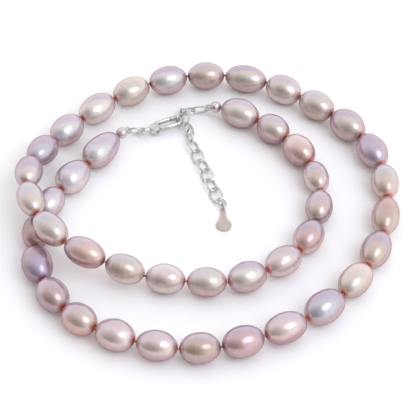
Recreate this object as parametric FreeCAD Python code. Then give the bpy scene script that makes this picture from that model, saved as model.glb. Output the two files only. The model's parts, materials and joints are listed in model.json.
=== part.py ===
import FreeCAD, Part
import math
import os

# A single strand of oval pearls, laid down as two nested turns that cross
# once, closed by a lobster claw, with an extender chain and a flat tag.
# Millimetres, +Z up, floor at Z = 0, front towards -Y.

V = FreeCAD.Vector
UP = V(0, 0, 1)

# ---- the strand's sizes ------------------------------------------------------
PITCH = 10.0            # mean spacing of the pearls along the strand
PEARL_D = 7.2           # nominal pearl diameter
PEARL_GAP = 0.2         # room between two pearls, measured along the thread
THREAD_D = 0.5
THREAD_BEND = 4.0       # centre-line radius of the thread between two pearls
BORE_PLAY = 0.125       # radial room of the thread in a pearl
CROSS_LIFT = 0.89       # full lift at the crossing, in pearl diameters

# ---- the fittings, which grow with the strand --------------------------------
K = PITCH / 10.0
PLAY = 0.1 * K          # room between a moving piece and its neighbour
BALL_D = 3.0 * K        # bead tip at each end of the strand
BALL_WALL = 0.35 * K
EYE_R = 0.8 * K         # centre-line radius of a bead tip's eye
EYE_WIRE = 0.5 * K
EYE_REACH = BALL_D / 2.0 + EYE_R - 0.3 * EYE_WIRE   # from ball to eye, centres
CRIMP_D = 1.3 * K
CRIMP_L = 1.2 * K
CRIMP_PLAY = 0.02
LINK_WIRE = 0.52 * K
LINK_ROOM_L = 3.7 * K   # clear length inside a chain link
LINK_ROOM_W = 2.2 * K   # clear width inside a chain link
LINK_L = LINK_ROOM_L + 2 * LINK_WIRE
LINK_W = LINK_ROOM_W + 2 * LINK_WIRE
JUMP_D = 4.4 * K        # outer diameter of the ring on the claw's tail
JUMP_WIRE = 0.5 * K
TAG_RING_D = 2.9 * K
TAG_RING_WIRE = 0.4 * K
TAG_L = 7.0 * K
TAG_W = 3.7 * K
TAG_T = 0.5 * K
TAG_NECK_W = 1.1 * K
TAG_SHOULDER = 40.0     # degrees at which the side meets the round end
TAG_EYE_R = 0.72 * K
TAG_EYE_WIRE = 0.42 * K
CLAW_T = 1.4 * K        # thickness of the claw's arm and lever
CLAW_W = 1.0 * K        # width of the claw's arm and lever
CLAW_Z = 1.55 * K       # height of the claw's middle plane
KNUCKLE_R = 1.3 * K     # the claw's knuckle, which carries the lever's pin
KNUCKLE_T = 1.9 * K
TAIL_R = 0.95 * K       # centre-line radius of the claw's tail eye
TAIL_WIRE = 0.6 * K
NECK_D = 1.0 * K
LUG_T = 0.7 * K
LUG_R = 0.72 * K
POCKET_R = 1.08 * K     # room for lug and spring inside the knuckle
PIN_D = 0.6 * K
PIN_SEAT_PLAY = 0.01
PIN_PLAY = 0.05
SPRING_WIRE = 0.16 * K

# ---- the strand's route --------------------------------------------------------
# Plan position of each gap between two pearls for a pitch of 10 mm, and how far
# it is lifted, as a share of the full lift. The first gap is at the bead tip
# beside the chain, and the last at the one beside the claw.
ROUTE = [
    (3.5, 35.0, 0), (13.0, 30.0, 0), (20.0, 23.5, 0), (25.5, 15.0, 0),
    (27.5, 5.5, 0), (26.0, -4.5, 0), (21.5, -13.5, 0), (13.5, -19.5, 0),
    (4.5, -23.0, 0), (-5.0, -22.5, 0), (-14.5, -21.0, 0),
    (-23.5, -19.5, 0.55), (-33.0, -15.0, 0.75), (-40.0, -7.5, 1.0),
    (-43.5, 2.5, 0.95), (-43.0, 13.0, 0.5),
    (-39.0, 22.5, 0), (-32.5, 30.5, 0), (-24.5, 38.0, 0), (-15.5, 43.5, 0),
    (-5.5, 46.5, 0), (4.5, 47.0, 0), (15.5, 44.0, 0), (24.0, 38.5, 0),
    (32.0, 32.0, 0), (39.0, 24.0, 0), (43.0, 14.0, 0), (43.5, 3.5, 0),
    (41.5, -8.0, 0), (37.0, -18.0, 0), (30.5, -26.5, 0), (22.0, -33.5, 0),
    (12.5, -38.0, 0), (3.0, -41.0, 0), (-6.5, -41.5, 0), (-16.0, -39.5, 0),
    (-25.0, -36.0, 0), (-32.5, -30.5, 0), (-38.0, -22.5, 0),
    (-41.0, -12.5, 0), (-40.0, -2.5, 0), (-36.0, 6.0, 0), (-30.0, 14.5, 0),
    (-23.0, 24.5, 0),
]

# Each pearl's diameter in hundredths of PEARL_D, in order along the route.
GIRTHS = [
    104, 103, 102, 89, 94, 98, 98, 102, 97, 100, 96, 96, 96, 91, 95, 99, 103,
    103, 103, 104, 101, 101, 106, 104, 108, 102, 95, 94, 98, 98, 105, 99, 102,
    100, 97, 102, 99, 101, 102, 96, 92, 105, 104,
]

# Where a pearl is widest, as a share of its length, and how blunt its ends
# are. All others are widest in the middle.
BELLY = {13: 0.47, 28: 0.54, 42: 0.40, 43: 0.37}

# ---- the fittings' places, for a pitch of 10 mm --------------------------------
TIP_A_EYE = V(0.0, 35.9, 0)         # plan aim of the eye at the chain's end
TIP_A_DROP = 1.344                  # height of that aim below the first gap
TIP_B_EYE = V(-20.3, 27.2, 2.9)     # aim of the eye at the claw's end
CLAW_TAIL = V(-16.8, 28.2, 1.55)    # middle of the claw's tail eye
CLAW_NOSE = V(-6.7, 32.4, 1.55)     # the claw points at this
PIN_AT = (3.2, -0.5)                # lever's pin, in the claw's own plane
ARM = [(2.5, 0.2), (4.2, 0.95), (6.2, 1.27), (8.2, 1.27), (9.75, 1.0),
       (10.5, 0.2), (10.25, -0.75), (9.3, -1.22)]
LEVER = [(4.75, -0.9), (6.2, -1.2), (7.8, -1.3), (9.05, -1.22)]

# Chain links: centre, direction of the long axis, and roll about it in degrees.
# Link A runs from the eye, where it hangs this far below the middle, to link B.
LINK_A_HANG = V(0.05, 0.05, -0.32)
LINK_A_FAR = V(-4.11, 35.84, 1.53)
LINK_A_ROLL = 75
LINK_B = (V(-5.5, 35.65, 1.35), V(-1, -0.085, -0.1), 13)
LINK_H = (V(-7.45, 33.7, 0), V(0.275, 1, 0), 90)
DANGLE = [
    (V(-5.8, 32.9, 0), 61), (V(-5.05, 29.65, 0), -31), (V(-4.65, 26.45, 0), 70),
    (V(-3.65, 23.35, 0), -30), (V(-2.6, 20.0, 0), 26), (V(-1.3, 16.75, 0), -25),
    (V(-0.2, 13.45, 0), 25), (V(0.8, 10.1, 0), -25), (V(1.95, 6.85, 0), 26),
]
DANGLE_NODES = [("chain_links_1", 0, 2), ("chain_links_2", 2, 4),
                ("chain_links_3", 4, 6), ("chain_links_4", 6, 9)]
TAG_RING = (V(3.2, 4.45, 0.87), V(0.46, -0.89, 0), -20)
TAG_EYE = V(3.65, 3.3, 0)
TAG_END = V(3.85, -4.2, 0)
JUMP_ROLL = -60                     # ring on the claw tail, near edge raised


# ---- small helpers -------------------------------------------------------------
def unit(v):
    return v / v.Length


def frame_of(centre, along, roll):
    """Placement whose X runs along, and whose Z is up, rolled about X."""
    x = unit(along)
    side = unit(UP.cross(x))
    z = x.cross(side)
    turn = FreeCAD.Rotation(x, roll)
    rot = FreeCAD.Rotation(x, turn.multVec(side), turn.multVec(z), "XYZ")
    return FreeCAD.Placement(centre, rot)


def fused(shapes):
    out = shapes[0].fuse(shapes[1:])
    return out.removeSplitter()


def disc(centre, normal, radius):
    circle = Part.Circle(centre, normal, radius)
    return Part.Face(Part.Wire(circle.toShape()))


def oval_ring(length, width, wire):
    """Closed link in the XY plane with its long axis on X."""
    r = wire / 2.0
    bend = width / 2.0 - r
    run = length / 2.0 - width / 2.0
    start = disc(V(run, -bend, 0), V(1, 0, 0), r)
    parts = [start.revolve(V(run, 0, 0), UP, 180)]
    back = disc(V(-run, bend, 0), V(1, 0, 0), r)
    parts.append(back.revolve(V(-run, 0, 0), UP, 180))
    for y in (-bend, bend):
        parts.append(disc(V(-run, y, 0), V(1, 0, 0), r).extrude(V(2 * run, 0, 0)))
    return fused(parts)


def round_ring(diameter, wire):
    r = wire / 2.0
    return Part.makeTorus(diameter / 2.0 - r, r)


def placed(shape, centre, along, roll):
    out = shape.copy()
    out.Placement = frame_of(centre, along, roll)
    return out


# ---- strand --------------------------------------------------------------------
def route_points():
    """Gap points in space: each as high as the thicker neighbour's radius."""
    radii = [PEARL_D * g / 200.0 for g in GIRTHS]
    points = []
    for i, (x, y, lift) in enumerate(ROUTE):
        near = radii[max(i - 1, 0):i + 1]
        z = max(near) + lift * CROSS_LIFT * PEARL_D
        points.append(V(x * K, y * K, z))
    return points


def tip_places(points):
    """Centre and outward direction of the bead tip at each end."""
    reach = PEARL_GAP / 2.0 + PLAY + BALL_D / 2.0
    aim_a = TIP_A_EYE * K + V(0, 0, points[0].z - TIP_A_DROP * K)
    ways = [unit(aim_a - points[0]), unit(TIP_B_EYE * K - points[-1])]
    return [(points[0] + ways[0] * reach, ways[0]),
            (points[-1] + ways[1] * reach, ways[1])]


def make_pearl(start, end, girth, belly):
    """Pearl of revolution between two gap points, bored along its axis."""
    way = unit(end - start)
    length = (end - start).Length - PEARL_GAP
    radius = PEARL_D * girth / 200.0
    bore = THREAD_D / 2.0 + BORE_PLAY
    front = length * belly
    back = length - front
    edge = math.asin(bore / radius)
    steps = 12
    curve = []
    for i in range(steps + 1):
        a = math.pi - edge - (math.pi - 2 * edge) * i / steps
        reach = front if math.cos(a) < 0 else back
        curve.append(V(front + reach * math.cos(a), radius * math.sin(a), 0))
    spline = Part.BSplineCurve()
    spline.interpolate(curve)
    outline = Part.Wire([spline.toShape(), Part.makeLine(curve[-1], curve[0])])
    body = Part.Face(outline).revolve(V(0, 0, 0), V(1, 0, 0), 360)
    body.Placement = frame_of(start + way * PEARL_GAP / 2.0, way, 0)
    return body


def thread_path(points):
    """Straight runs through the pearls, joined by tangent arcs at the gaps."""
    edges = []
    at = points[0]
    length = 0.0
    for before, corner, after in zip(points, points[1:], points[2:]):
        a = unit(before - corner)
        b = unit(after - corner)
        half = a.getAngle(b) / 2.0
        setback = THREAD_BEND / math.tan(half)
        to_mid = THREAD_BEND / math.sin(half) - THREAD_BEND
        begin = corner + a * setback
        mid = corner + unit(a + b) * to_mid
        end = corner + b * setback
        edges.append(Part.LineSegment(at, begin).toShape())
        edges.append(Part.Arc(begin, mid, end).toShape())
        at = end
    edges.append(Part.LineSegment(at, points[-1]).toShape())
    for edge in edges:
        length += edge.Length
    return Part.Wire(edges), length


def make_thread(points, tips):
    ends = [centre + way * CRIMP_L * 0.6 for centre, way in tips]
    line = [ends[0]] + points + [ends[1]]
    path, length = thread_path(line)
    start = Part.Wire(Part.Circle(line[0], line[1] - line[0], THREAD_D / 2.0).toShape())
    tube = path.makePipeShell([start], True, True)
    section = math.pi * THREAD_D ** 2 / 4.0
    print("thread length %.2f mm, volume over section %.2f mm"
          % (length, tube.Volume / section))
    return tube


def make_tip(centre, way, wire_way):
    """Hollow ball with a thread hole behind and an eye in front, along +Y."""
    ball = Part.makeSphere(BALL_D / 2.0)
    hollow = Part.makeSphere(BALL_D / 2.0 - BALL_WALL)
    eye = Part.makeTorus(EYE_R, EYE_WIRE / 2.0, V(0, EYE_REACH, 0), UP)
    hole = Part.makeCylinder(THREAD_D / 2.0 + BORE_PLAY, BALL_D, V(0, 0, 0), V(0, -1, 0))
    tip = ball.fuse(eye).cut(hollow).cut(hole)
    across = unit(wire_way - way * wire_way.dot(way))
    turn = FreeCAD.Rotation(way.cross(across), way, across, "YZX")
    tip.Placement = FreeCAD.Placement(centre, turn)
    return tip


def make_crimp(centre, way):
    back = centre - way * CRIMP_L / 2.0
    tube = Part.makeCylinder(CRIMP_D / 2.0, CRIMP_L, back, way)
    return tube.cut(Part.makeCylinder(THREAD_D / 2.0 + CRIMP_PLAY, CRIMP_L, back, way))


# ---- claw ----------------------------------------------------------------------
def oval_bar(points):
    """Bar of oval section along a smooth curve in the claw's plane."""
    curve = Part.BSplineCurve()
    curve.interpolate([V(x * K, y * K, 0) for x, y in points])
    start = curve.value(curve.FirstParameter)
    way = unit(curve.tangent(curve.FirstParameter)[0])
    oval = Part.Ellipse(V(0, 0, 0), CLAW_T / 2.0, CLAW_W / 2.0).toShape()
    across = way.cross(UP)
    turn = FreeCAD.Rotation(UP, across, way, "XYZ")
    oval.Placement = FreeCAD.Placement(start, turn)
    path = Part.Wire(curve.toShape())
    return path.makePipeShell([Part.Wire(oval)], True, True)


def upright(radius, height, x, y):
    base = V(x * K, y * K, -height / 2.0)
    return Part.makeCylinder(radius, height, base)


def slot_block(height):
    """Room for the lever's root, open on the lever's side of the knuckle."""
    x, y = PIN_AT
    depth = 3.0 * K
    low = V(x * K, (y - 1.6) * K, -height / 2.0)
    return Part.makeBox(depth, 2.35 * K, height, low)


def make_claw_parts():
    """Claw body, lever, pin and spring in the claw's own frame."""
    x, y = PIN_AT
    slot = LUG_T + 2 * PLAY
    knuckle = upright(KNUCKLE_R, KNUCKLE_T, x, y)
    knuckle = knuckle.makeFillet(0.3 * K, knuckle.Edges)
    neck = Part.makeCylinder(NECK_D / 2.0, (x - 0.9) * K, V(0.9 * K, 0, 0), V(1, 0, 0))
    tail = Part.makeTorus(TAIL_R, TAIL_WIRE / 2.0)
    body = knuckle.fuse([neck, oval_bar(ARM)])
    body = body.cut([upright(POCKET_R, slot, x, y), slot_block(slot)])
    body = body.fuse(tail)
    body = body.cut(upright(PIN_D / 2.0 + PIN_SEAT_PLAY, 2 * KNUCKLE_T, x, y))

    bar = oval_bar(LEVER)
    root = Part.makeBox(2.2 * K, 0.6 * K, LUG_T, V(x * K, (y - 0.55) * K, -LUG_T / 2.0))
    lever = fused([bar, root, upright(LUG_R, LUG_T, x, y)])
    lever = lever.cut(upright(PIN_D / 2.0 + PIN_PLAY, 2 * LUG_T, x, y))

    pin = upright(PIN_D / 2.0, KNUCKLE_T, x, y)

    mid_r = (LUG_R + POCKET_R) / 2.0
    at = V(x * K, y * K, 0)
    wire = disc(at + V(0, mid_r, 0), V(1, 0, 0), SPRING_WIRE / 2.0)
    spring = wire.revolve(at, UP, 170)
    return {"clasp_body": body, "clasp_lever": lever, "lever_pin": pin,
            "lever_spring": spring}


# ---- tag -----------------------------------------------------------------------
def make_tag():
    """Flat drop with an upright eye at its narrow end, along +X from the eye."""
    r = TAG_W / 2.0
    far = TAG_L + TAG_EYE_R - r
    neck = V(TAG_EYE_R, TAG_NECK_W / 2.0, 0)
    turn = math.radians(TAG_SHOULDER)
    waist = V(far - r * math.sin(turn), r * math.cos(turn), 0)
    side = Part.BSplineCurve()
    side.interpolate([neck, waist], InitialTangent=V(1, 0, 0),
                     FinalTangent=V(math.cos(turn), math.sin(turn), 0))
    upper = side.toShape()
    lower = upper.mirror(V(0, 0, 0), V(0, 1, 0))
    end = Part.Arc(waist, V(far + r, 0, 0), V(waist.x, -waist.y, 0)).toShape()
    close = Part.makeLine(V(neck.x, -neck.y, 0), neck)
    edges = Part.__sortEdges__([upper, end, lower, close])
    plate = Part.Face(Part.Wire(edges)).extrude(V(0, 0, TAG_T))
    lift = TAG_EYE_R + TAG_EYE_WIRE / 2.0
    eye = Part.makeTorus(TAG_EYE_R, TAG_EYE_WIRE / 2.0, V(0, 0, lift), V(0, 1, 0))
    return plate.fuse(eye)


# ---- assembly ------------------------------------------------------------------
def rest_height(roll):
    """Height of a level link's middle when it lies on the floor."""
    half = (LINK_W - LINK_WIRE) / 2.0
    return half * abs(math.sin(math.radians(roll))) + LINK_WIRE / 2.0


def dangling_places():
    """Centre, direction and roll of each link that hangs free of the claw."""
    spots = [at * K for at, roll in DANGLE]
    places = []
    for i, (at, roll) in enumerate(DANGLE):
        before = spots[i - 1] if i else LINK_B[0] * K
        after = spots[i + 1] if i + 1 < len(spots) else TAG_RING[0] * K
        way = V(after.x - before.x, after.y - before.y, 0)
        if i == 0:
            way = V(after.x - spots[0].x, after.y - spots[0].y, 0)
        places.append((V(spots[i].x, spots[i].y, rest_height(roll)), way, roll))
    return places


def make_nodes():
    nodes = {}
    points = route_points()
    tips = tip_places(points)
    for i, girth in enumerate(GIRTHS):
        belly = BELLY.get(i + 1, 0.5)
        nodes["pearl_%02d" % (i + 1)] = make_pearl(points[i], points[i + 1], girth, belly)
    nodes["thread"] = make_thread(points, tips)

    near = tips[0][0] + tips[0][1] * EYE_REACH + LINK_A_HANG * K
    far = LINK_A_FAR * K
    link_a = ((near + far) / 2.0, far - near, LINK_A_ROLL)
    side_a = frame_of(*link_a).Rotation.multVec(V(0, 1, 0))
    tail = CLAW_TAIL * K
    eye_b = tips[1][0] + tips[1][1] * (BALL_D / 2.0 + EYE_R)
    jump = frame_of((tail + eye_b) / 2.0, tail - eye_b, JUMP_ROLL)
    side_b = jump.Rotation.multVec(V(0, 1, 0))
    nodes["end_balls"] = Part.makeCompound([
        make_tip(tips[0][0], tips[0][1], side_a),
        make_tip(tips[1][0], tips[1][1], side_b)])
    nodes["crimps"] = Part.makeCompound([make_crimp(c, w) for c, w in tips])
    ring = round_ring(JUMP_D, JUMP_WIRE)
    ring.Placement = jump
    nodes["clasp_ring"] = ring

    seat = frame_of(tail, CLAW_NOSE - CLAW_TAIL, 0)
    for name, shape in make_claw_parts().items():
        shape.Placement = seat.multiply(shape.Placement)
        nodes[name] = shape

    link = oval_ring(LINK_L, LINK_W, LINK_WIRE)
    nodes["link_a"] = placed(link, *link_a)
    nodes["link_b"] = placed(link, LINK_B[0] * K, LINK_B[1], LINK_B[2])
    hook_at = LINK_H[0] * K + V(0, 0, rest_height(LINK_H[2]))
    nodes["hook_link"] = placed(link, hook_at, LINK_H[1], LINK_H[2])
    hanging = [placed(link, *place) for place in dangling_places()]
    for name, first, last in DANGLE_NODES:
        nodes[name] = Part.makeCompound(hanging[first:last])
    small = round_ring(TAG_RING_D, TAG_RING_WIRE)
    nodes["tag_ring"] = placed(small, TAG_RING[0] * K, TAG_RING[1], TAG_RING[2])
    nodes["tag"] = placed(make_tag(), TAG_EYE * K, TAG_END - TAG_EYE, 0)
    return nodes


def export(nodes):
    """Put the origin under the middle of the whole necklace, on the floor."""
    box = Part.makeCompound(list(nodes.values())).optimalBoundingBox(False)
    shift = V(-(box.XMin + box.XMax) / 2.0, -(box.YMin + box.YMax) / 2.0, -box.ZMin)
    print("shift %.4f %.4f %.4f" % (shift.x, shift.y, shift.z))
    os.makedirs("parts", exist_ok=True)
    for name, shape in nodes.items():
        shape.translate(shift)
        shape.exportStep("parts/%s.step" % name)


export(make_nodes())
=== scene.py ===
# %% [markdown]
# # A strand of oval pearls with a silver claw clasp
#
# The necklace is a single strand of 43 oval freshwater pearls. It lies in two
# nested turns and closes with a lobster claw, beside which hangs a short
# extender chain with a drop-shaped tag. The measured model gives each piece's
# place. This lesson adds what the eye looks for: lustrous nacre in many pale
# tones, cast, polished and brushed silver, and the silk that holds it together.

# %% Load the measured model
import json
import math

import bpy
from mathutils import Matrix, Vector


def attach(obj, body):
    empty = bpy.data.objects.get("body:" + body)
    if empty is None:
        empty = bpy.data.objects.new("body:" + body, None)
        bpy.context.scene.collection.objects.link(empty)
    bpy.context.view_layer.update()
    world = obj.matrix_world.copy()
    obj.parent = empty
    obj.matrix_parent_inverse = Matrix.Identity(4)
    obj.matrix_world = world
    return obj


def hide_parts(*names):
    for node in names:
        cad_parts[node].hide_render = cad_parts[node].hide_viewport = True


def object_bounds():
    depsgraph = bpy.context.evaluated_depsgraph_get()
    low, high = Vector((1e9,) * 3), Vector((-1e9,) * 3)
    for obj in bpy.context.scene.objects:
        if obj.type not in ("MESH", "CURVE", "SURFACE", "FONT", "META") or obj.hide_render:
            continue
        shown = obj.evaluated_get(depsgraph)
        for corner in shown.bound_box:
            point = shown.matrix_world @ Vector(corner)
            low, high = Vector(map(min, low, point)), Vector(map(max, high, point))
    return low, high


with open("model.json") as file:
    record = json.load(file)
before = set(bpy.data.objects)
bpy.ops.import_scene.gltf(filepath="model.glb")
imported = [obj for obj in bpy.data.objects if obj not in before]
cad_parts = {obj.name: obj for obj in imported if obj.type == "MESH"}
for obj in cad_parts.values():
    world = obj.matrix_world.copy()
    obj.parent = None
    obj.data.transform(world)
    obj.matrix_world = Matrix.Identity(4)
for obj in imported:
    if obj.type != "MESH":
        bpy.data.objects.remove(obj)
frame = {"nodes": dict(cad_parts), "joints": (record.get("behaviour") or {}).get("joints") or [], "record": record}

MM = 0.001
measured_box = [list(corner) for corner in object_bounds()]
slot_of = {part["node"]: part["material_slot"] for part in frame["record"]["subparts"]}
spins = {j["child"]: j for j in frame["joints"] if j["name"].endswith("_spin")}
print(len(frame["nodes"]), "pieces, of which", len(spins), "are pearls; box", measured_box)

# %% [markdown]
# ## The camera
#
# Small jewellery is shown from above and in front, with a long lens well back,
# so that near and far pearls keep nearly the same size. The camera stands at
# 48 degrees above the table and looks at a point a little in front of the
# middle. An empty target isn't needed: a direction turned into a rotation by
# to_track_quat points the camera just as well.

# %% Place the camera
CAMERA_HEIGHT_ANGLE = math.radians(48.17)
CAMERA_DISTANCE = 314.57 * MM
LENS_MM, SENSOR_MM = 113.34, 36
AIM_FORWARD, AIM_HEIGHT = 2.77 * MM, 3.6 * MM
low, high = (Vector(corner) for corner in measured_box)
aim = Vector(((low.x + high.x) / 2, (low.y + high.y) / 2 - AIM_FORWARD, AIM_HEIGHT))
to_camera = Vector((0, -math.cos(CAMERA_HEIGHT_ANGLE), math.sin(CAMERA_HEIGHT_ANGLE)))

lens = bpy.data.cameras.new("table_camera")
lens.sensor_width = SENSOR_MM
lens.lens = LENS_MM
camera = bpy.data.objects.new("table_camera", lens)
bpy.context.scene.collection.objects.link(camera)
camera.location = aim + to_camera * CAMERA_DISTANCE
camera.rotation_euler = to_camera.to_track_quat("Z", "Y").to_euler()
bpy.context.scene.camera = camera
print("camera at", [round(c, 4) for c in camera.location])

# %% [markdown]
# ## A few helpers
#
# Edit-mode operators act on whatever is selected, so everything is deselected
# before a new piece is made. Colours are written as a painter's six-figure code
# and turned into the linear numbers that shaders want. Node trees are built with
# one short function per kind of step, so that a finish reads like a recipe.

# %% Helpers for selecting and for colours
def nothing_selected():
    """Back to object mode with no object selected or active."""
    if bpy.context.object and bpy.context.object.mode != "OBJECT":
        bpy.ops.object.mode_set(mode="OBJECT")
    bpy.ops.object.select_all(action="DESELECT")


def colour(text):
    """A colour from its six-figure painter's code, as the shader wants it."""
    parts = [int(text[i:i + 2], 16) / 255 for i in (0, 2, 4)]
    return tuple(p / 12.92 if p <= 0.04045 else ((p + 0.055) / 1.055) ** 2.4
                 for p in parts) + (1.0,)


# %% Helpers for node work
def new_group(name, inputs, outputs):
    """An empty shader group with named sockets, given as (name, kind, value)."""
    group = bpy.data.node_groups.new(name, "ShaderNodeTree")
    for label, kind, value in inputs:
        sock = group.interface.new_socket(label, in_out="INPUT", socket_type=kind)
        if value is not None:
            sock.default_value = value
    for label, kind in outputs:
        group.interface.new_socket(label, in_out="OUTPUT", socket_type=kind)
    return group, group.nodes.new("NodeGroupInput"), group.nodes.new("NodeGroupOutput")


def add(tree, kind, settings=None, **values):
    """A node with its settings, and its inputs set to values or linked."""
    node = tree.nodes.new(kind)
    for key, value in (settings or {}).items():
        setattr(node, key, value)
    for key, value in values.items():
        sock = node.inputs[int(key[1:])] if key[1:].isdigit() else node.inputs[key]
        if isinstance(value, bpy.types.NodeSocket):
            tree.links.new(value, sock)
        else:
            sock.default_value = value
    return node


def math_node(tree, operation, a, b=0.0, c=0.0):
    """One sum on values; c is only used by operations that take three."""
    return add(tree, "ShaderNodeMath", {"operation": operation}, i0=a, i1=b, i2=c).outputs[0]


def step_up(tree, value, start, end, to=1.0):
    """0 below start, rising softly to `to` at end."""
    node = add(tree, "ShaderNodeMapRange", {"interpolation_type": "SMOOTHSTEP"},
               i0=value, i1=start, i2=end, i3=0.0, i4=to)
    return node.outputs[0]


def blend_colour(tree, factor, a, b, mode="MIX"):
    """Colour a, with colour b laid over it by the factor."""
    node = add(tree, "ShaderNodeMix", {"data_type": "RGBA", "blend_type": mode},
               Factor=factor, i6=a, i7=b)
    return node.outputs["Result"]


def ramp(tree, value, start, first, end, last):
    """A colour ramp from first, at start, to last, at end."""
    node = add(tree, "ShaderNodeValToRGB", Fac=value)
    for stop, place, tone in zip(node.color_ramp.elements, (start, end), (first, last)):
        stop.position = place
        stop.color = tone
    return node.outputs["Color"]


print("helpers ready")

# %% [markdown]
# ## The table and the light
#
# Pearls show mostly what is around them, so the light is most of the look. A
# wide oval soft box to the right, in front and above gives each pearl its one
# broad highlight. The room around is pale, a little darker overhead and much
# darker at the front on the left, so that every pearl has a shaded side. The
# table is white and slightly uneven, so that it takes the faint shadows softly.

# %% The table
nothing_selected()
TABLE_SIZE = 3
bpy.ops.mesh.primitive_grid_add(x_subdivisions=4, y_subdivisions=4, size=TABLE_SIZE)
table = bpy.context.object
table.name = "table"
bpy.ops.object.transform_apply(location=True, rotation=True, scale=True)

table_white = bpy.data.materials.new("table_white")
table_white.use_nodes = True
tree = table_white.node_tree
place = add(tree, "ShaderNodeTexCoord").outputs["Object"]
cloud = add(tree, "ShaderNodeTexNoise", Vector=place, Scale=40).outputs["Fac"]
white = blend_colour(tree, cloud, (0.955, 0.96, 0.945, 1), (0.97, 0.975, 0.96, 1))
shader = tree.nodes["Principled BSDF"]
tree.links.new(white, shader.inputs["Base Color"])
shader.inputs["Roughness"].default_value = 0.9
shader.inputs["Specular IOR Level"].default_value = 0.1
table.data.materials.append(table_white)
print("table,", TABLE_SIZE, "m wide")

# %% The soft box
def soft_box(name, towards, distance, width, height, power, tone):
    """A rounded light in that direction from the necklace, facing it."""
    light = bpy.data.lights.new(name, "AREA")
    light.shape = "ELLIPSE"
    light.size, light.size_y = width, height
    light.energy = power
    light.color = colour(tone)[:3]
    lamp = bpy.data.objects.new(name, light)
    bpy.context.scene.collection.objects.link(lamp)
    way = Vector(towards).normalized()
    lamp.location = aim + way * distance
    lamp.rotation_euler = way.to_track_quat("Z", "Y").to_euler()
    print(name, "at", [round(c, 3) for c in lamp.location])


soft_box("window_light", towards=(0.46, -0.40, 0.79), distance=0.60, width=0.42,
         height=0.39, power=1.10, tone="d9e8ff")

# %% The room around
WHITE = (1.0, 1.0, 1.0, 1)
DARK_SIDE = Vector((-0.56, -0.80, 0.16)).normalized()

room = bpy.data.worlds.new("room")
bpy.context.scene.world = room
room.use_nodes = True
tree = room.node_tree
tree.nodes.clear()
way = add(tree, "ShaderNodeTexCoord").outputs["Generated"]
height = add(tree, "ShaderNodeSeparateXYZ", Vector=way).outputs["Z"]
overhead = ramp(tree, height, 0.15, WHITE, 0.80, (0.80, 0.79, 0.82, 1))
towards_dark = add(tree, "ShaderNodeVectorMath", {"operation": "DOT_PRODUCT"}, i0=way,
                   i1=DARK_SIDE).outputs["Value"]
dark = ramp(tree, towards_dark, 0.35, WHITE, 0.94, (0.10, 0.06, 0.04, 1))
both = blend_colour(tree, 1.0, overhead, dark, "MULTIPLY")
glow = add(tree, "ShaderNodeBackground", Color=both, Strength=1.40)
add(tree, "ShaderNodeOutputWorld", Surface=glow.outputs["Background"])
print("room:", len(tree.nodes), "nodes")
bpy.context.scene.view_settings.view_transform = "Standard"

# %% [markdown]
# ## The pearls' shape
#
# Each pearl is a little barrel of nacre, drilled from end to end. A sphere is
# only the start: both ends are cut off flat where the drill came out, the two
# round openings are joined by the drill hole's wall, and the sharp edge of
# each opening is chamfered as a driller does. One master pearl is made this
# way, of radius 1 and along X. It also carries its own coordinates as an
# attribute, because the bands of the skin have to turn with the pearl.

# %% The master pearl
HOLE = 0.104              # the drill hole's radius, on a pearl of radius 1
CHAMFER = 0.022           # and the width of the chamfer around it
CUT = math.sqrt(1 - HOLE * HOLE)

nothing_selected()
bpy.ops.mesh.primitive_uv_sphere_add(segments=96, ring_count=64, radius=1,
                                     rotation=(0, math.pi / 2, 0))
master = bpy.context.object
bpy.ops.object.transform_apply(location=True, rotation=True, scale=True)
bpy.ops.object.mode_set(mode="EDIT")
for side in (1, -1):
    bpy.ops.mesh.select_all(action="SELECT")
    bpy.ops.mesh.bisect(plane_co=(side * CUT, 0, 0), plane_no=(side, 0, 0),
                        clear_outer=True)
bpy.ops.mesh.select_all(action="DESELECT")
bpy.ops.mesh.select_mode(type="EDGE")
bpy.ops.mesh.select_non_manifold()
bpy.ops.mesh.bridge_edge_loops()
bpy.ops.mesh.select_all(action="SELECT")
bpy.ops.mesh.normals_make_consistent(inside=False)
bpy.ops.mesh.select_all(action="DESELECT")
bpy.ops.object.mode_set(mode="OBJECT")
for edge in master.data.edges:
    ends = [master.data.vertices[v].co for v in edge.vertices]
    edge.select = all(abs(abs(e.x) - CUT) < 1e-4 for e in ends)
bpy.ops.object.mode_set(mode="EDIT")
bpy.ops.mesh.bevel(offset=CHAMFER, segments=3, affect="EDGES")
bpy.ops.mesh.select_mode(type="VERT")
bpy.ops.object.mode_set(mode="OBJECT")
bpy.ops.object.shade_smooth()
skin = master.data.attributes.new("skin", "FLOAT_VECTOR", "POINT")
for v in master.data.vertices:
    skin.data[v.index].vector = v.co
print("master pearl:", len(master.data.vertices), "points,",
      len(master.data.polygons), "faces")

# %% [markdown]
# ## Stringing
#
# Every pearl of the measured model turns about its own drill hole, and that
# joint says where the pearl's middle is and which way it points. Its length,
# its girth and how far along it is widest are measured from the model's own
# points. The master is stretched to them, the two halves on each side of the
# belly by different amounts, which also makes the drop-shaped pearls beside
# the clasp. Real pearls aren't turned on a lathe, so a Displace modifier with
# a cloudy texture presses the skin in a little. It only presses inwards, so
# no pearl can touch its neighbour as it turns.

# %% Measure a pearl along its own axis
def pearl_sizes(name):
    """Middle, axis, reach each way from the widest place, and girth radius."""
    spot = Vector(spins[name]["pos_m"])
    axis = Vector(spins[name]["axis"]).normalized()
    along = []
    for v in frame["nodes"][name].data.vertices:
        t = (v.co - spot).dot(axis)
        along.append((t, (v.co - spot - axis * t).length))
    first = min(t for t, r in along)
    last = max(t for t, r in along)
    radius = max(r for t, r in along)
    widest = [t for t, r in along if r > 0.999 * radius]
    belly = (min(widest) + max(widest)) / 2
    return spot + axis * belly, axis, (belly - first) / CUT, (last - belly) / CUT, radius


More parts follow.
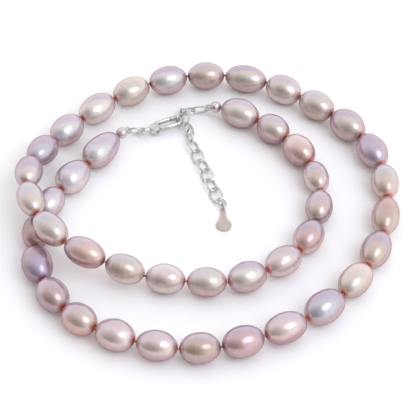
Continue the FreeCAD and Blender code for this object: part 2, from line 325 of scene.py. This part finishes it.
# %% String the pearls
DENT_WIDTH, DENT_DEPTH = 3.4 * MM, 0.16 * MM
dents = bpy.data.textures.new("dents", "CLOUDS")
dents.noise_scale = DENT_WIDTH
dents.noise_depth = 1

pearls = {}
for name in sorted(spins):
    middle, axis, before, after, radius = pearl_sizes(name)
    piece = bpy.data.objects.new(name.replace("pearl", "nacre_pearl"), master.data.copy())
    bpy.context.scene.collection.objects.link(piece)
    for v in piece.data.vertices:
        v.co.x *= after if v.co.x > 0 else before
        v.co.y *= radius
        v.co.z *= radius
    level = Vector((0, 0, 1)).cross(axis).normalized()
    turn = Matrix((axis, level, axis.cross(level))).transposed()
    piece.data.transform(Matrix.Translation(middle) @ turn.to_4x4())
    nothing_selected()
    piece.select_set(True)
    bpy.context.view_layer.objects.active = piece
    dent = piece.modifiers.new("dents", "DISPLACE")
    dent.texture = dents
    dent.texture_coords = "GLOBAL"
    dent.mid_level = 1.0
    dent.strength = DENT_DEPTH
    bpy.ops.object.modifier_apply(modifier="dents")
    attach(piece, name)
    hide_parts(name)
    pearls[name] = (piece, middle, radius)
bpy.data.objects.remove(master)
print("strung", len(pearls), "pearls")

# %% [markdown]
# ## Nacre
#
# Nacre is thousands of clear layers over each other. Its body colour lies deep, and over it floats an overtone,
# each pearl its own, laid on as a painted reflection of the room: lavender on the side that lies up and back,
# where the pearl mirrors the pale room above, and a warmer tone at the foot, where it mirrors the table. Towards
# the drill holes the tone deepens: a painted glow of the light that touching pearls throw back into each other. A
# shared group paints all this from the pearl's own coordinates, so the pattern, painted reflection and glow too,
# turns with the pearl, and adds faint growth rings, clouds and the finest unevenness. At the
# rim, where the skin is seen at a slant, the tone is deeper and redder and the
# clear coat on top shines less.

# %% The shared nacre group
COLOUR, NUMBER, PLACE = "NodeSocketColor", "NodeSocketFloat", "NodeSocketVector"
# The side value and the top and foot tones that come in here lay a painted reflection on the pearl: the pale room
# above on its upper back, the table at its foot.
nacre, given, result = new_group(
    "Nacre skin",
    [("Skin", PLACE, None), ("Crown", NUMBER, 0.0), ("Body", COLOUR, None),
     ("Overtone", COLOUR, None), ("Foot", COLOUR, None), ("Painted bounce glow", COLOUR, None),
     ("Seed", NUMBER, 0.0), ("Clouds", NUMBER, 0.5)],
    [("Heart", COLOUR), ("Edge", COLOUR), ("Roughness", NUMBER), ("Height", NUMBER)])
own = add(nacre, "ShaderNodeVectorMath", {"operation": "ADD"}, i0=given.outputs["Skin"],
          i1=given.outputs["Seed"]).outputs[0]
drift = add(nacre, "ShaderNodeTexNoise", Vector=own, Scale=1.2, Detail=2.0).outputs["Fac"]
drift = math_node(nacre, "MULTIPLY", math_node(nacre, "SUBTRACT", drift, 0.5),
                  given.outputs["Clouds"])
# Painted reflection: lavender towards the upper back, a warmer tone towards the foot.
side = math_node(nacre, "ADD", given.outputs["Crown"], drift)
up = step_up(nacre, side, -0.35, 0.65)
high_up = step_up(nacre, side, 0.25, 1.0, 0.7)
low_down = step_up(nacre, math_node(nacre, "MULTIPLY", side, -1.0), 0.3, 1.0, 0.7)
edge = blend_colour(nacre, up, given.outputs["Foot"], given.outputs["Overtone"])
heart = blend_colour(nacre, high_up, given.outputs["Body"], given.outputs["Overtone"])
heart = blend_colour(nacre, low_down, heart, given.outputs["Foot"])
split = add(nacre, "ShaderNodeSeparateXYZ", Vector=given.outputs["Skin"])
reach = math_node(nacre, "ABSOLUTE", split.outputs["X"])
# Painted glow near both drill holes, where the pearls touch and throw light into each other.
painted_bounce_near_hole = step_up(nacre, math_node(nacre, "MULTIPLY_ADD", drift, 0.15, reach),
                    0.89, 1.0, 0.9)
stretch = add(nacre, "ShaderNodeMapping", i0=own, Scale=(4.0, 0.6, 0.6)).outputs[0]
rings = add(nacre, "ShaderNodeTexNoise", Vector=stretch, Scale=1.6, Detail=3.0).outputs["Fac"]
tone = step_up(nacre, rings, 0.3, 0.7)
for label, paint in (("Heart", heart), ("Edge", edge)):
    paint = blend_colour(nacre, painted_bounce_near_hole, paint, given.outputs["Painted bounce glow"])
    pale = add(nacre, "ShaderNodeHueSaturation", Saturation=1.0, Value=0.93, Color=paint)
    deep = add(nacre, "ShaderNodeHueSaturation", Saturation=1.12, Value=0.88, Color=paint)
    nacre.links.new(blend_colour(nacre, tone, deep.outputs[0], pale.outputs[0]),
                    result.inputs[label])
grain = add(nacre, "ShaderNodeTexNoise", Vector=own, Scale=26.0, Detail=2.0).outputs["Fac"]
rough = add(nacre, "ShaderNodeMapRange", i0=grain, i1=0.3, i2=0.7, i3=0.27, i4=0.32)
nacre.links.new(rough.outputs[0], result.inputs["Roughness"])
nacre.links.new(rings, result.inputs["Height"])
print("nacre group:", len(nacre.nodes), "nodes")

# %% [markdown]
# ## Sorting the tones
#
# A multicolour strand is matched so that no two pearls are the same, but they stay in one pale family. Each pearl
# is described with four of the names in the tray below: its body, its overtone, laid on top as a painted
# reflection of the room above, the tone of its foot, partly a painted reflection of the table, and the tone around
# its drill holes, a painted glow from the touching pearls.

# %% The tray of tones, and what each pearl takes from it
TRAY = {
    "cream": "ddd6cd", "champagne": "d5cabf", "gold": "ccbaab", "bronze": "bfa798",
    "peach": "d9bcae", "salmon": "cfa596", "blush": "dccac5", "rose": "c9a8a6",
    "dusty": "bd9f9d", "lilac": "bdb0bf", "lavender": "aea0b4",
    "silver": "d6d4d5", "mist": "bfbec6", "mauve": "a68f98", "plum": "8a6a76",
    "rust": "d0654a", "coral": "dd7d62", "berry": "b08285",
}
PEARLS = """
cream lilac dusty coral             | champagne lilac berry rust
peach blush berry rust             | gold lilac blush coral
gold lilac mauve plum               | rose lavender peach coral
blush lilac blush coral             | cream lavender rose coral
champagne mist rose coral           | blush silver champagne coral
gold mist champagne rust            | peach lilac berry plum
champagne mist rose coral           | champagne mist gold coral
champagne lavender mist coral       | mist lavender mauve coral
silver lilac rose rust              | cream lilac blush rust
champagne champagne gold rust       | silver lavender rose plum
gold lilac dusty plum               | champagne lavender dusty plum
champagne lilac blush coral         | champagne mist bronze rust
champagne lavender dusty rust       | lilac lavender dusty rust
gold mist peach rust                | bronze dusty gold rust
gold lavender dusty coral           | champagne blush bronze coral
mist lavender dusty coral           | blush lilac berry coral
rose lavender dusty plum            | bronze lilac dusty plum
blush lilac dusty rust              | blush lilac rose rust
gold lilac salmon rust              | dusty lilac mauve rust
lavender mauve plum plum            | dusty plum berry plum
silver lilac rose coral             | silver lilac blush coral
silver lilac dusty coral
"""
entries = PEARLS.strip().replace("\n", "|").split("|")
tones = [entry.split() for entry in entries]
print(len(tones), "pearls sorted into", len(TRAY), "tones")

# %% A finish for each pearl
# The side that gets the painted reflection of the pale room above, as the pearls lie.
UP_AND_BACK = Vector((0, 0.743, 0.669))
SEED_STEP = 3.7           # how far apart two pearls lie in the clouds


def nacre_finish(name, body, overtone_and_room_reflection, foot_and_table_reflection, bounce_glow_tone, seed):
    """A nacre material with its own tones and its own place in the clouds."""
    finish = bpy.data.materials.new(name)
    finish.use_nodes = True
    tree = finish.node_tree
    shader = tree.nodes["Principled BSDF"]
    skin = add(tree, "ShaderNodeAttribute", {"attribute_name": "skin"})
    # Where on this pearl the painted reflection of the room lies.
    crown = add(tree, "ShaderNodeAttribute", {"attribute_name": "crown"})
    coat = add(tree, "ShaderNodeGroup", {"node_tree": nacre}, Skin=skin.outputs["Vector"],
               Crown=crown.outputs["Fac"], Body=colour(TRAY[body]),
               Overtone=colour(TRAY[overtone_and_room_reflection]), Foot=colour(TRAY[foot_and_table_reflection]),
               Seed=seed, Clouds=0.7)
    # The tone of the painted glow near the drill holes.
    coat.inputs["Painted bounce glow"].default_value = colour(TRAY[bounce_glow_tone])
    facing = add(tree, "ShaderNodeLayerWeight", Blend=0.5).outputs["Facing"]
    orient = step_up(tree, facing, 0.12, 0.40, 0.85)
    rim = step_up(tree, facing, 0.54, 0.96, 0.95)
    paint = blend_colour(tree, orient, coat.outputs["Heart"], coat.outputs["Edge"])
    deep = blend_colour(tree, 1.0, coat.outputs["Edge"], (0.66, 0.27, 0.26, 1), "MULTIPLY")
    paint = blend_colour(tree, rim, paint, deep)
    bump = add(tree, "ShaderNodeBump", Strength=0.06, Distance=0.03 * MM,
               Height=coat.outputs["Height"])
    tree.links.new(paint, shader.inputs["Base Color"])
    tree.links.new(coat.outputs["Roughness"], shader.inputs["Roughness"])
    tree.links.new(bump.outputs["Normal"], shader.inputs["Normal"])
    shader.inputs["Metallic"].default_value = 0.46
    shader.inputs["IOR"].default_value = 1.6
    gloss = math_node(tree, "MULTIPLY_ADD", rim, -0.8, 0.9)
    tree.links.new(gloss, shader.inputs["Coat Weight"])
    shader.inputs["Specular Tint"].default_value = (0.80, 0.42, 0.40, 1)
    shader.inputs["Coat Roughness"].default_value = 0.22
    shader.inputs["Coat IOR"].default_value = 2.0
    return finish


for number, (piece, middle, radius) in enumerate(pearls.values()):
    # How far each point faces up and back, where the painted reflection of the room above is laid on.
    crown = piece.data.attributes.new("crown", "FLOAT", "POINT")
    for v in piece.data.vertices:
        crown.data[v.index].value = (v.co - middle).dot(UP_AND_BACK) / radius
    piece.data.materials.clear()
    piece.data.materials.append(nacre_finish(piece.name, *tones[number], number * SEED_STEP))
print(len(pearls), "pearls finished")

# %% [markdown]
# ## Silver
#
# Three finishes of one metal: rings and links of drawn wire are polished, the
# claw is cast and tumbled, so it is a little softer and satin in its hollows,
# and the tag is brushed along its own length, from the ring it hangs on to its
# far tip. Worn silver isn't evenly bright, so a shared group clouds its tone and
# its roughness at the scale of a finger's touch. The silk takes the same group,
# as a rough skin with no metal in it.

# %% The shared silver group
worn, given, result = new_group(
    "Handled silver",
    [("Place", PLACE, None), ("Bright", COLOUR, None), ("Dull", COLOUR, None),
     ("Size", NUMBER, 900.0), ("Smooth", NUMBER, 0.15), ("Rough", NUMBER, 0.3)],
    [("Colour", COLOUR), ("Roughness", NUMBER), ("Height", NUMBER)])
cloud = add(worn, "ShaderNodeTexNoise", Vector=given.outputs["Place"],
            Scale=given.outputs["Size"], Detail=4.0).outputs["Fac"]
fine = add(worn, "ShaderNodeTexNoise", Vector=given.outputs["Place"], Scale=9000.0,
           Detail=2.0).outputs["Fac"]
mask = step_up(worn, cloud, 0.3, 0.72)
paint = blend_colour(worn, mask, given.outputs["Bright"], given.outputs["Dull"])
rough = add(worn, "ShaderNodeMapRange", i0=mask, i1=0.0, i2=1.0,
            i3=given.outputs["Smooth"], i4=given.outputs["Rough"]).outputs[0]
height = math_node(worn, "ADD", math_node(worn, "MULTIPLY", cloud, 0.7),
                   math_node(worn, "MULTIPLY", fine, 0.3))
worn.links.new(paint, result.inputs["Colour"])
worn.links.new(rough, result.inputs["Roughness"])
worn.links.new(height, result.inputs["Height"])

# %% A finish for each kind of part
GRAIN = (14, 1, 1)        # how far the clouds are drawn out along the brush strokes


def silver_finish(name, bright, dull, size, smooth, rough, dents, brush=None):
    """Solid silver with its own cloud size, gloss and unevenness, brushed or not."""
    finish = bpy.data.materials.new(name)
    finish.use_nodes = True
    tree = finish.node_tree
    shader = tree.nodes["Principled BSDF"]
    place = add(tree, "ShaderNodeTexCoord").outputs["Object"]
    if brush is not None:
        place = add(tree, "ShaderNodeMapping", {"vector_type": "TEXTURE"}, Vector=place,
                    Rotation=brush.to_euler(), Scale=GRAIN).outputs["Vector"]
    metal = add(tree, "ShaderNodeGroup", {"node_tree": worn}, Place=place,
                Bright=colour(bright), Dull=colour(dull), Size=size, Smooth=smooth,
                Rough=rough)
    bump = add(tree, "ShaderNodeBump", Strength=0.25, Distance=dents * MM,
               Height=metal.outputs["Height"])
    tree.links.new(metal.outputs["Colour"], shader.inputs["Base Color"])
    tree.links.new(metal.outputs["Roughness"], shader.inputs["Roughness"])
    tree.links.new(bump.outputs["Normal"], shader.inputs["Normal"])
    shader.inputs["Metallic"].default_value = 1.0
    return finish


swing = next(j for j in frame["joints"] if j["child"] == "tag")
hung = Vector(swing["pos_m"])
reach = [v.co - hung for v in frame["nodes"]["tag"].data.vertices]
along = max(reach, key=lambda way: way.length).normalized()
upward = along.cross(Vector(swing["axis"])).normalized()
tag_grain = Matrix((along, upward.cross(along), upward)).transposed()

polished = silver_finish("polished_silver", "dcdad7", "c4c1bd", 700.0, 0.32, 0.44, 0.003)
cast = silver_finish("cast_silver", "dddbd8", "c0bdb9", 500.0, 0.36, 0.50, 0.006)
brushed = silver_finish("brushed_silver", "cdc1b8", "b5a99f", 6000.0, 0.42, 0.54, 0.004,
                        tag_grain)
silk = silver_finish("silk", "d99a86", "b8705f", 2500.0, 0.7, 0.9, 0.05)
silk.node_tree.nodes["Principled BSDF"].inputs["Metallic"].default_value = 0.0

FINISHES = {"silver_polished": polished, "silver_cast": cast, "silver_brushed": brushed,
            "silk": silk}
for name, node in frame["nodes"].items():
    if name not in pearls:
        node.data.materials.clear()
        node.data.materials.append(FINISHES[slot_of[name]])
print(len(FINISHES), "finishes for", len(frame["nodes"]) - len(pearls), "other pieces")

# %% Finish
print("measured", measured_box)
